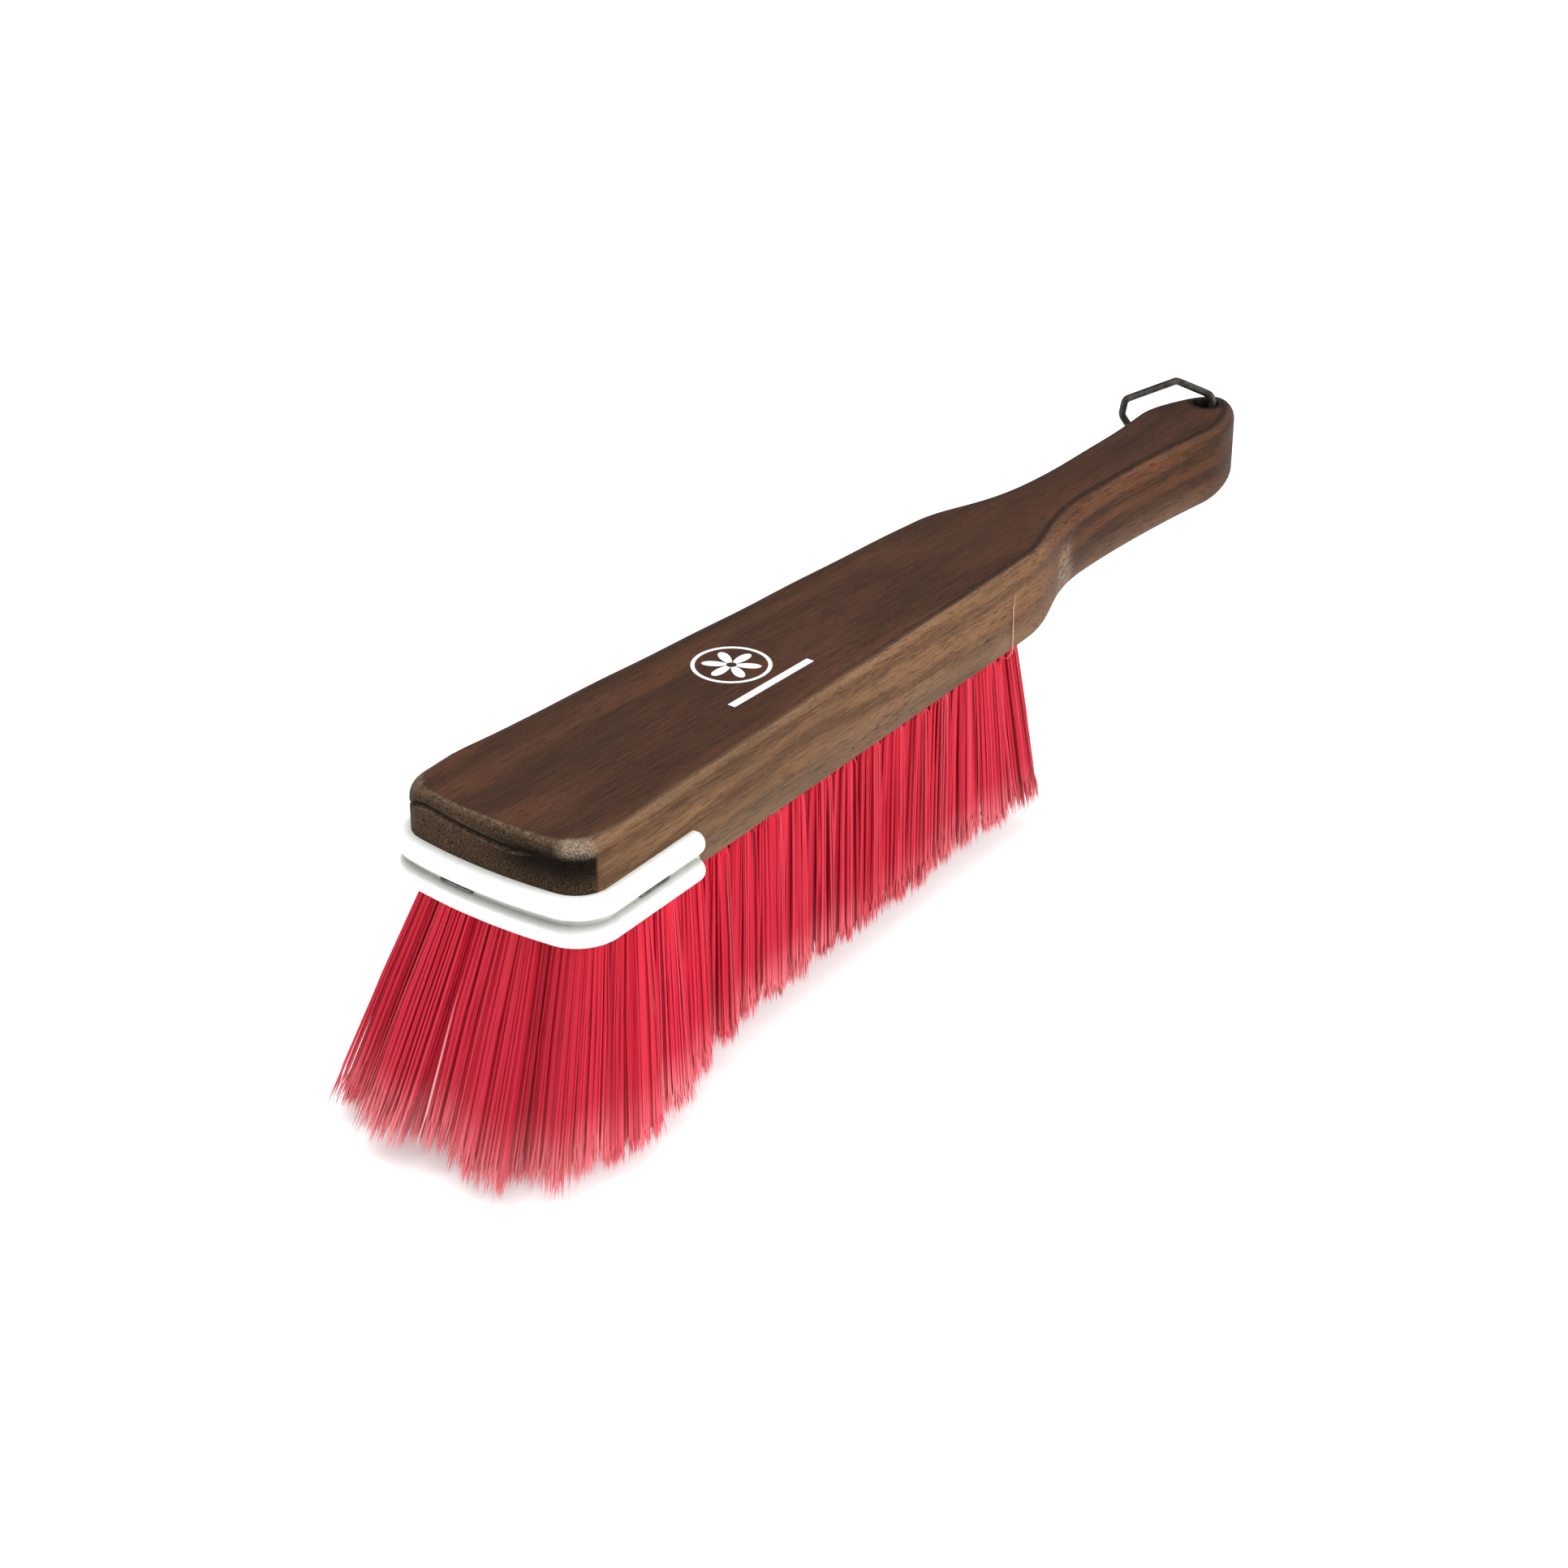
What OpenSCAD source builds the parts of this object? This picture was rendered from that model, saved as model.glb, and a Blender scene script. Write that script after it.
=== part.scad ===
// Wooden hand brush: a one-piece block and handle with a flat back, a twin-bead
// plastic bumper stapled round the nose, staple-set bristle tufts and a wire loop.
// Lengths are in millimetres. The design is laid out from the nose tip, with +X
// towards the handle, +Z out of the flat back and the bristles pointing down.
// Seen from the handle, the left side is -Y and the right side is +Y.

/* [Wood block] */
// Length of the wood from nose tip to handle end
wood_len = 330; // [320:1:345]
// Thickness of the wood
wood_thick = 25; // [23:0.5:28]
// Half the head's width, where its side lines pass the nose tip
head_half = 29.6; // [28:0.1:31]
// How far each side comes in per millimetre of length
side_taper = 0.0465; // [0.035:0.0005:0.05]
// Distance from nose tip to the start of the shoulder
head_len = 198; // [196:1:202]
// Radius of the nose's shallow front curve
nose_r = 150; // [100:5:220]
// Radius of the two nose corners, seen from above
corner_r = 9; // [8:0.1:13]
// Half the width of the handle at its neck
neck_half = 10.75; // [10:0.05:12]
// Half the width of the handle where it swells near its end
bulb_half = 12.75; // [12:0.05:13.5]
// How far the handle's back falls by its end
handle_drop = 0.6; // [0.4:0.1:1]
// Edge rounding on the back of the nose
nose_round = 2.5; // [2:0.1:3]
// Edge rounding on the back of the head and handle
back_round = 4; // [3:0.1:4.5]
// Extra edge rounding on the back of the nose corners
corner_ease = 2.8; // [0:0.1:3]
// Extra edge rounding on the back of the handle end
end_ease = 1; // [0:0.1:1.2]
// Edge rounding on the underside of the head
head_under_round = 1.5; // [1:0.1:2]
// Edge rounding on the underside of the handle
grip_round = 5; // [4:0.1:5]

/* [Bumper] */
// Height of the bumper's centre groove below the back
groove_drop = 20.1; // [18.5:0.1:20.5]
// Radius of each bead
bead_r = 3.1; // [2.8:0.05:3.2]
// Distance between the two bead centres
bead_gap = 7.2; // [7:0.05:7.6]
// Thickness of the web behind the beads
web_thick = 1; // [0.8:0.1:1.2]
// Distance from nose tip to the end of the upper bead
bumper_end = 43; // [40:0.5:48]

/* [Tufts] */
// Diameter of a tuft hole
hole_d = 7; // [6:0.1:7.2]
// Depth of a tuft hole along its axis
hole_depth = 12; // [10:0.5:14]
// Tufts in each row
tufts_per_row = 17; // [15:1:17]
// Distance from the nose tip to the first tuft of an aligned row
first_tuft = 13.5; // [13:0.5:15]
// Distance from the nose tip to the last tuft of an aligned row
last_tuft = 192; // [188:1:193]
// Distance from the head's edge to the outer rows
edge_margin = 5.6; // [5.4:0.1:6]
// How much further in the outer rows start at the nose
nose_inset = 4; // [0:0.1:5]
// Height of the bristle field from the wood to the trimmed tips
bristle_len = 58; // [50:1:60]
// Radius of a tuft at its trimmed tip
tip_r = 4.4; // [3.8:0.1:4.5]
// Forward lean of the first tufts at the nose, in degrees
nose_lean = 24; // [18:1:26]
// Backward lean of the last tufts, in degrees
back_lean = 13; // [8:1:15]
// Sideways lean of the outer rows at the nose, in degrees
side_lean = 10; // [6:0.5:11]
// Share of the sideways lean that is gone by the middle of the head
side_fade = 1.1; // [0.45:0.05:1.1]

/* [Hanging loop] */
// Diameter of the loop's wire
wire_d = 2.2; // [1.8:0.1:2.2]
// Diameter of the hole that the loop turns in
loop_hole_d = 7; // [7:0.1:8]
// Distance from the handle end to the loop's hole
loop_inset = 10; // [9.5:0.1:11]
// How far the loop reaches from its hole
loop_reach = 27.3; // [26:0.1:30]
// Rise of the loop's outer side, from its play in the hole, in degrees
loop_tilt = 10; // [8:0.5:10]
// Direction the loop points in at rest, from +X towards +Y, in degrees
loop_heading = 95; // [90:1:98]

/* [Hidden] */
$fn = 48;

wood_colour = [0.33, 0.21, 0.15];
bumper_colour = [0.93, 0.95, 0.93];
bristle_colour = [0.76, 0.10, 0.17];
steel_colour = [0.45, 0.45, 0.45];
wire_colour = [0.22, 0.21, 0.19];

origin_x = head_len / 2;
skin_extra = 1;
big = 500;

side_k = sqrt(1 + side_taper * side_taper);
function side_y(x) = head_half - side_taper * x;

// Centre of a nose corner: corner_r inside both the side line and the front curve.
corner_a = head_half - corner_r * side_k;
corner_b = nose_r + corner_a * side_taper;
corner_c = nose_r * nose_r + corner_a * corner_a - pow(nose_r - corner_r, 2);
corner_x = (corner_b - sqrt(corner_b * corner_b - side_k * side_k * corner_c)) / (side_k * side_k);
corner_y = corner_a - side_taper * corner_x;
front_angle = atan2(corner_y, nose_r - corner_x);
side_angle = 90 + atan(side_taper);
side_start = corner_x + corner_r * side_taper / side_k;

neck_x = head_len + 42;
bulb_x = wood_len - 27;
end_fullness = 8.5;
front_steps = 8;
corner_steps = 12;
side_steps = 6;
curve_steps = 9;

function bezier(p, t) =
  pow(1 - t, 3) * p[0] + 3 * t * pow(1 - t, 2) * p[1] + 3 * t * t * (1 - t) * p[2] + pow(t, 3) * p[3];

shoulder_curve = [
  [head_len, side_y(head_len)], [head_len + 15, side_y(head_len + 15)],
  [neck_x - 22, neck_half + 1.25], [neck_x, neck_half]
];
neck_curve = [
  [neck_x, neck_half], [neck_x + 18, neck_half - 1],
  [bulb_x - 21, bulb_half - 2.15], [bulb_x, bulb_half]
];
end_curve = [
  [bulb_x, bulb_half], [bulb_x + 8, bulb_half + 0.8],
  [wood_len, end_fullness], [wood_len, 0]
];

// The right half of the block's plan, from the nose tip to the handle end.
half_plan = concat(
  [for (i = [0:front_steps - 1]) let (a = front_angle * i / front_steps)
    [nose_r - nose_r * cos(a), nose_r * sin(a)]],
  [for (i = [0:corner_steps]) let (a = front_angle + (side_angle - front_angle) * i / corner_steps)
    [corner_x - corner_r * cos(a), corner_y + corner_r * sin(a)]],
  [for (i = [1:side_steps - 1]) let (x = side_start + (head_len - side_start) * i / side_steps)
    [x, side_y(x)]],
  [for (i = [0:curve_steps - 1]) bezier(shoulder_curve, i / curve_steps)],
  [for (i = [0:curve_steps - 1]) bezier(neck_curve, i / curve_steps)],
  [for (i = [0:curve_steps]) bezier(end_curve, i / curve_steps)]
);
half_count = len(half_plan);
plan = concat(half_plan, [for (i = [half_count - 2:-1:1]) [half_plan[i][0], -half_plan[i][1]]]);
plan_count = len(plan);

function inward(i) = let (
    before = plan[(i + plan_count - 1) % plan_count],
    after = plan[(i + 1) % plan_count],
    d = after - before
  ) [d[1], -d[0]] / norm(d);
plan_inward = [for (i = [0:plan_count - 1]) inward(i)];

// 0 before x = a, 1 after x = b, and smooth between.
function ramp(x, a, b) = let (t = max(0, min(1, (x - a) / (b - a)))) t * t * (3 - 2 * t);
function back_r(x) =
  nose_round + (back_round - nose_round) * ramp(x, 8, 40)
  + corner_ease * ramp(x, 0.8, 3) * (1 - ramp(x, 8, 24))
  + end_ease * ramp(x, wood_len - 24, wood_len - 8);
function under_r(x) = head_under_round + (grip_round - head_under_round) * ramp(x, head_len - 8, neck_x);

// Each level of the skin is an arc angle and whether it belongs to the back or the underside.
arc_steps = 5;
skin_levels = concat(
  [for (j = [0:arc_steps]) [90 * j / arc_steps, true]],
  [for (j = [arc_steps:-1:0]) [90 * j / arc_steps, false]]
);
function skin_point(i, level) = let (
    p = plan[i],
    r = level[1] ? back_r(p[0]) : under_r(p[0]),
    flat_xy = p + plan_inward[i] * r * (1 - sin(level[0])),
    depth = r * (1 - cos(level[0]))
  ) [flat_xy[0], flat_xy[1], level[1] ? -depth : depth - wood_thick];

// Joins rings of points, each with the same number of points, into one closed solid.
module loft(rings) {
  n = len(rings[0]);
  last = (len(rings) - 1) * n;
  polyhedron(
    points = [for (ring = rings) each ring],
    faces = concat(
      [[for (i = [n - 1:-1:0]) i]],
      [for (j = [0:len(rings) - 2], i = [0:n - 1])
        let (a = j * n + i, b = j * n + (i + 1) % n)
        each [[a, b, b + n], [a, b + n, a + n]]],
      [[for (i = [0:n - 1]) last + i]]
    )
  );
}

module skin() {
  top = [for (i = [0:plan_count - 1]) skin_point(i, skin_levels[0]) + [0, 0, skin_extra]];
  bottom = [for (i = [0:plan_count - 1]) skin_point(i, skin_levels[len(skin_levels) - 1]) - [0, 0, skin_extra]];
  middle = [
    for (j = [len(skin_levels) - 1:-1:0])
      [for (i = [0:plan_count - 1]) skin_point(i, skin_levels[j])]
  ];
  loft(concat([bottom], middle, [top]));
}

// Tuft rows run from -2 on the left to 2 on the right. Odd rows sit half a pitch forward.
pitch = (last_tuft - first_tuft) / (tufts_per_row - 1);
function tuft_x(row, i) = first_tuft + pitch * (i - (row % 2 == 0 ? 0 : 0.5));
function tuft_y(row, x) = row / 2 * (side_y(x) - edge_margin - nose_inset * (1 - ramp(x, 8, 30)));
nose_reach = 70;
back_start = 150;
function lean_forward(x) =
  nose_lean * pow(max(0, 1 - (x - first_tuft + pitch / 2) / nose_reach), 2)
  - back_lean * pow(max(0, (x - back_start) / (last_tuft - back_start)), 2);
function lean_side(row, x) = row / 2 * side_lean * (1 - side_fade * ramp(x, 20, 75));

// Places children at a tuft's hole mouth, with -Z along the tuft.
module at_tuft(row, i) {
  x = tuft_x(row, i);
  translate([x, tuft_y(row, x), -wood_thick])
    rotate([lean_side(row, x), lean_forward(x), 0])
      children();
}

hole_overrun = 4;
module tuft_hole() {
  translate([0, 0, -hole_overrun])
    cylinder(d = hole_d, h = hole_depth + hole_overrun);
}

loop_x = wood_len - loop_inset;
// The block before drilling: the skin with its three flats cut.
module blank() {
  drop_angle = atan(handle_drop / (wood_len - head_len));
  difference() {
    skin();
    // The flat back of the head
    translate([-big / 2, -big / 2, 0]) cube([big * 2, big, 10]);
    // The handle's back, which falls slightly towards its end
    translate([head_len, 0, 0]) rotate([0, drop_angle, 0])
      translate([0, -big / 2, 0]) cube([big, big, 10]);
    // The flat underside
    translate([-big / 2, -big / 2, -wood_thick - 10]) cube([big * 2, big, 10]);
  }
}

module wood_block() {
  color(wood_colour) difference() {
    blank();
    translate([loop_x, 0, -wood_thick - 1]) cylinder(d = loop_hole_d, h = wood_thick + 2);
    for (row = [-2:2], i = [0:tufts_per_row - 1])
      at_tuft(row, i) tuft_hole();
  }
}

fibre_gap = 0.05;
module tuft() {
  root_r = hole_d / 2 - fibre_gap;
  cone_len = bristle_len * 1.2;
  cylinder(r = root_r, h = hole_depth - fibre_gap);
  mirror([0, 0, 1])
    cylinder(r1 = root_r, r2 = root_r + (tip_r - root_r) * 1.2, h = cone_len);
}

// One row of tufts, all trimmed to the same flat plane.
module tuft_row(row) {
  color(bristle_colour) difference() {
    for (i = [0:tufts_per_row - 1]) at_tuft(row, i) tuft();
    translate([-big / 2, -big / 2, -wood_thick - bristle_len - 40]) cube([big * 2, big, 40]);
  }
}

anchor_bite = 0.4;
anchor_thick = 0.35;
anchor_tall = 2.4;
anchor_depth = 9;
// Flat anchor wires, one driven across the bottom of each hole.
module anchor_row(row) {
  width = hole_d + 2 * anchor_bite;
  color(steel_colour)
    for (i = [0:tufts_per_row - 1]) at_tuft(row, i)
      translate([-anchor_thick / 2, -width / 2, anchor_depth]) cube([anchor_thick, width, anchor_tall]);
}

strip_gap = 0.02;
bead_base = 0.5;
bead_steps = 8;
web_angle = acos((web_thick - bead_base) / bead_r);
function bead_arc(z, from, to, s) = [
  for (i = [0:bead_steps]) let (a = from + (to - from) * i / bead_steps)
    [s * (bead_base + bead_r * cos(a)), z + s * bead_r * sin(a)]
];
// Cross-section of the bumper: outwards from the wood, then up from the groove.
// At its ends the beads close round their own centres as s falls from 1 towards 0.
function bumper_profile(s) = concat(
  [[0, -bead_gap / 2 - s * bead_r]],
  bead_arc(-bead_gap / 2, -90, web_angle, s),
  bead_arc(bead_gap / 2, -web_angle, 90, s),
  [[0, bead_gap / 2 + s * bead_r]]
);

// Where the bumper's cross-sections stand, on the right half from its end to the nose
// centre: each is a plan point, the outward direction there and the profile's s.
normal_angle = 90 - atan(side_taper);
function side_station(x, s) = [[x, side_y(x)], normal_angle, s];
function arc_station(centre, r, a) = [centre + r * [-cos(a), sin(a)], 180 - a, 1];
bumper_half = concat(
  [for (u = [0.99, 0.9, 0.75, 0.5, 0.25, 0]) side_station(bumper_end + bead_r * u, sqrt(1 - u * u))],
  [for (i = [corner_steps:-1:1])
    arc_station([corner_x, corner_y], corner_r, front_angle + (side_angle - front_angle) * i / corner_steps)],
  [for (i = [front_steps:-1:0]) arc_station([nose_r, 0], nose_r, front_angle * i / front_steps)]
);
function mirrored(station) = [[station[0][0], -station[0][1]], -station[1], station[2]];
bumper_stations = concat(
  bumper_half,
  [for (i = [len(bumper_half) - 2:-1:0]) mirrored(bumper_half[i])]
);

module bumper_strip() {
  color(bumper_colour) loft([
    for (station = bumper_stations) let (
        out = [cos(station[1]), sin(station[1])]
      )
      [for (p = bumper_profile(station[2])) let (
          plan_xy = station[0] + out * (p[0] + strip_gap)
        ) [plan_xy[0], plan_xy[1], p[1] - groove_drop]]
  ]);
}

// Carries children from the side line's frame: x outwards, y up, z towards the handle.
module on_side(x) {
  translate([x, side_y(x), -groove_drop]) rotate([90, 0, normal_angle]) children();
}

staple_w = 1;
staple_leg = 5;
// One staple: its crown lies in the groove, along +Y, and its legs point along -X.
module staple(crown) {
  crown_x = strip_gap + web_thick - 0.1;
  for (y = [0, crown - staple_w])
    translate([-staple_leg, y, -staple_w / 2]) cube([staple_leg + crown_x + 0.2, staple_w, staple_w]);
  translate([crown_x, 0, -staple_w / 2]) cube([0.6, crown, staple_w]);
}

// The front staple stands right of the nose tip, between two tufts.
front_staple_y = 7.5;
front_staple_crown = 11;
side_staple_shift = 2.1;
module bumper_staples() {
  side_x = first_tuft + pitch / 2 + side_staple_shift;
  front_turn = asin(front_staple_y / nose_r);
  color(steel_colour) {
    for (flip = [0, 1]) mirror([0, flip, 0])
      on_side(side_x - staple_w / 2) rotate([-90, 0, 0]) mirror([0, 1, 0])
        staple(pitch + staple_w);
    translate([nose_r - nose_r * cos(front_turn), front_staple_y, -groove_drop])
      rotate([0, 0, 180 - front_turn]) translate([0, -front_staple_crown / 2, 0])
        staple(front_staple_crown);
  }
}

bend_r = 2.5;
wire_end_gap = 0.4;
loop_half = wood_thick / 2 + 2.4;
loop_shoulder = 12.6;
loop_nose = 2.6;
// The wire's line in the loop's own plane: x out from the hole, y up from mid-thickness.
loop_line = [
  [0, -wire_end_gap / 2], [0, -loop_half], [loop_shoulder, -loop_half],
  [loop_reach, -loop_nose], [loop_reach, loop_nose],
  [loop_shoulder, loop_half], [0, loop_half], [0, wire_end_gap / 2]
];

function unit(v) = v / norm(v);
function heading(v) = atan2(v[1], v[0]);
function turn_at(p, i) = let (
    t = heading(p[i + 1] - p[i]) - heading(p[i] - p[i - 1])
  ) t > 180 ? t - 360 : t;

// The wire's centre line: the line of points with each corner rounded by an arc of
// radius bend_r. Each entry is a point and the heading there. All corners turn left.
bend_steps = 6;
function bent_line(p) = concat(
  [[p[0], heading(p[1] - p[0])]],
  [for (i = [1:len(p) - 2]) let (
      turn = turn_at(p, i),
      way = unit(p[i] - p[i - 1]),
      start = p[i] - way * bend_r * tan(turn / 2),
      centre = start + bend_r * [-way[1], way[0]]
    )
    each [for (k = [0:bend_steps]) let (h = heading(way) + turn * k / bend_steps)
      [centre + bend_r * [sin(h), -cos(h)], h]]],
  [[p[len(p) - 1], heading(p[len(p) - 1] - p[len(p) - 2])]]
);

wire_sides = 16;
module bent_wire(p) {
  loft([
    for (station = bent_line(p)) let (left = [-sin(station[1]), cos(station[1])])
      [for (k = [0:wire_sides - 1]) let (
          a = 360 * k / wire_sides,
          xy = station[0] + left * wire_d / 2 * cos(a)
        ) [xy[0], xy[1], -wire_d / 2 * sin(a)]]
  ]);
}

module hanging_loop() {
  color(wire_colour)
    translate([loop_x, 0, -wood_thick / 2]) rotate([0, 0, loop_heading])
      rotate([0, -loop_tilt, 0]) rotate([90, 0, 0]) bent_wire(loop_line);
}

// Moves the design so that its origin is the middle of the head's flat back.
module placed() {
  translate([-origin_x, 0, 0]) children();
}

placed() wood_block();
placed() bumper_strip();
placed() bumper_staples();
placed() hanging_loop();
placed() tuft_row(-2);  // tufts_outer_left
placed() tuft_row(-1);  // tufts_inner_left
placed() tuft_row(0);  // tufts_centre
placed() tuft_row(1);  // tufts_inner_right
placed() tuft_row(2);  // tufts_outer_right
placed() anchor_row(-2);  // anchors_outer_left
placed() anchor_row(-1);  // anchors_inner_left
placed() anchor_row(0);  // anchors_centre
placed() anchor_row(1);  // anchors_inner_right
placed() anchor_row(2);  // anchors_outer_right
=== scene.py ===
import math
from functools import reduce

import bmesh
import bpy
import numpy as np
from mathutils import Matrix, Vector


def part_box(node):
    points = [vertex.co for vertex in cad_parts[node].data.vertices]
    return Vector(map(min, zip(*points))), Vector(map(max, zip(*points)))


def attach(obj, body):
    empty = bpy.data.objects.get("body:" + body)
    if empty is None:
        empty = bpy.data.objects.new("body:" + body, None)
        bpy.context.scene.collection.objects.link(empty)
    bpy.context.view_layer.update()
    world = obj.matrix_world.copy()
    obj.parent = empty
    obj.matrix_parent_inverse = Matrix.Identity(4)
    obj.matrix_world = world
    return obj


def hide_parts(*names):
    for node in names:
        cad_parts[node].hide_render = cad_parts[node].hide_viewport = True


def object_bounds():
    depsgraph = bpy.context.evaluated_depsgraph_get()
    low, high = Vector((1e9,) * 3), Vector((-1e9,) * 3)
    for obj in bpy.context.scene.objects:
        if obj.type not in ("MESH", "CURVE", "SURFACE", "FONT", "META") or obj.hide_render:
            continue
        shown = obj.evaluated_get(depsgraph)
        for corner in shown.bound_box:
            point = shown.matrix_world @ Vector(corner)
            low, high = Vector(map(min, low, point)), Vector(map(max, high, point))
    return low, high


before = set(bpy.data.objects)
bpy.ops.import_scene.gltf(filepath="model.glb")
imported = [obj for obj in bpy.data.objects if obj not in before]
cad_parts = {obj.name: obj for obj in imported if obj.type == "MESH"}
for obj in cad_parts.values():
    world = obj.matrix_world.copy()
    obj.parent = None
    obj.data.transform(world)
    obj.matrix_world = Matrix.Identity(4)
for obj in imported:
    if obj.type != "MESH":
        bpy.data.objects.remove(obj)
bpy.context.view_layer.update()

# ---------------------------------------------------------------- measures
# Shapes are laid out in millimetres from the nose tip: +X towards the handle,
# +Z out of the flat back, Z = 0 on the back. to_row() carries them to the frame.
WOOD_LOW, WOOD_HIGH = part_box("wood_block")
WOOD_LEN = (WOOD_HIGH.x - WOOD_LOW.x) * 1000
THICK = (WOOD_HIGH.z - WOOD_LOW.z) * 1000
ORIGIN = np.array([WOOD_LOW.x, (WOOD_LOW.y + WOOD_HIGH.y) / 2, WOOD_HIGH.z])

# Head and handle, seen from above
HEAD_HALF, SIDE_TAPER, HEAD_LEN = 29.6, 0.0465, 198.0
NOSE_R, CORNER_R = 150.0, 9.0
NECK_HALF, BULB_HALF = 10.75, 12.75
NECK_X, BULB_X = HEAD_LEN + 42, WOOD_LEN - 27
# How far the back falls along the handle. Its edge's rounding at the nose, and what the head,
# the nose corners and the handle's end add; the underside edge's rounding, and what the handle adds
HANDLE_DROP = 0.6
NOSE_ROUND, HEAD_ROUND, CORNER_EASE, END_EASE = 2.5, 1.5, 2.8, 1.0
UNDER_ROUND, HANDLE_ROUND = 1.5, 3.5
QUIRK_DEEP = 1.1
# The bumper and the staples in its groove
GROOVE_Z, BEAD_R, BEAD_GAP, BEAD_BASE, WEB = -20.1, 3.1, 7.2, 0.5, 1.0
BUMPER_END, STRIP_GAP = 43.0, 0.02
STAPLE_WIRE_R, STAPLE_LEG, STAPLE_SHIFT = 0.45, 5.0, 2.1
FRONT_STAPLE_Y, FRONT_STAPLE_CROWN = 7.5, 10
# Tuft holes: their places, and how many degrees they lean at the nose, the back and the sides
HOLE_R, HOLE_DEPTH = 3.5, 12.0
PER_ROW, FIRST_TUFT, LAST_TUFT, EDGE_MARGIN, NOSE_INSET = 17, 13.5, 192.0, 5.6, 4
PITCH = (LAST_TUFT - FIRST_TUFT) / (PER_ROW - 1)
NOSE_LEAN, BACK_LEAN, SIDE_LEAN = 24, 13, 10
NOSE_LEAN_LEN, BACK_LEAN_X = 70, 150
# The hanging loop's wire and hole
WIRE_R, LOOP_HOLE_R, LOOP_X = 1.1, 3.5, WOOD_LEN - 10


def to_row(points):
    """Millimetres from the nose tip, as metres in the frame."""
    return np.asarray(points, float) / 1000 + ORIGIN


def ramp(x, a, b):
    """Runs smoothly from 0 at a to 1 at b."""
    t = np.clip((np.asarray(x, float) - a) / (b - a), 0, 1)
    return t * t * (3 - 2 * t)


def side_y(x):
    """Half of the head's width at x."""
    return HEAD_HALF - SIDE_TAPER * x


# ---------------------------------------------------------------- mesh tools
def mesh_object(name, verts, faces):
    mesh = bpy.data.meshes.new(name)
    mesh.from_pydata([tuple(v) for v in to_row(verts)], [], faces)
    obj = bpy.data.objects.new(name, mesh)
    bpy.context.scene.collection.objects.link(obj)
    return obj


def new_piece(name, verts, faces, body, replaced):
    """A smooth mesh that rides on body and stands for the CAD node replaced."""
    obj = mesh_object(name, verts, faces)
    obj.data.validate()
    obj.data.update()
    obj.data.shade_smooth()
    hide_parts(replaced)
    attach(obj, body)
    return obj


def skin_faces(rings, count):
    """Four-sided faces between neighbouring rings of count points each."""
    faces = []
    for j in range(rings - 1):
        a, b = j * count, (j + 1) * count
        for i in range(count):
            k = (i + 1) % count
            faces.append((a + i, a + k, b + k, b + i))
    return faces


def loft_faces(rings, count):
    """The faces between the rings, closed by the first and the last ring."""
    last = (rings - 1) * count
    caps = [tuple(range(count - 1, -1, -1)), tuple(last + i for i in range(count))]
    return skin_faces(rings, count) + caps


def outward(obj):
    """Turns the mesh's faces to point out of it."""
    bm = bmesh.new()
    bm.from_mesh(obj.data)
    bmesh.ops.recalc_face_normals(bm, faces=bm.faces)
    bm.to_mesh(obj.data)
    bm.free()


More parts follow.
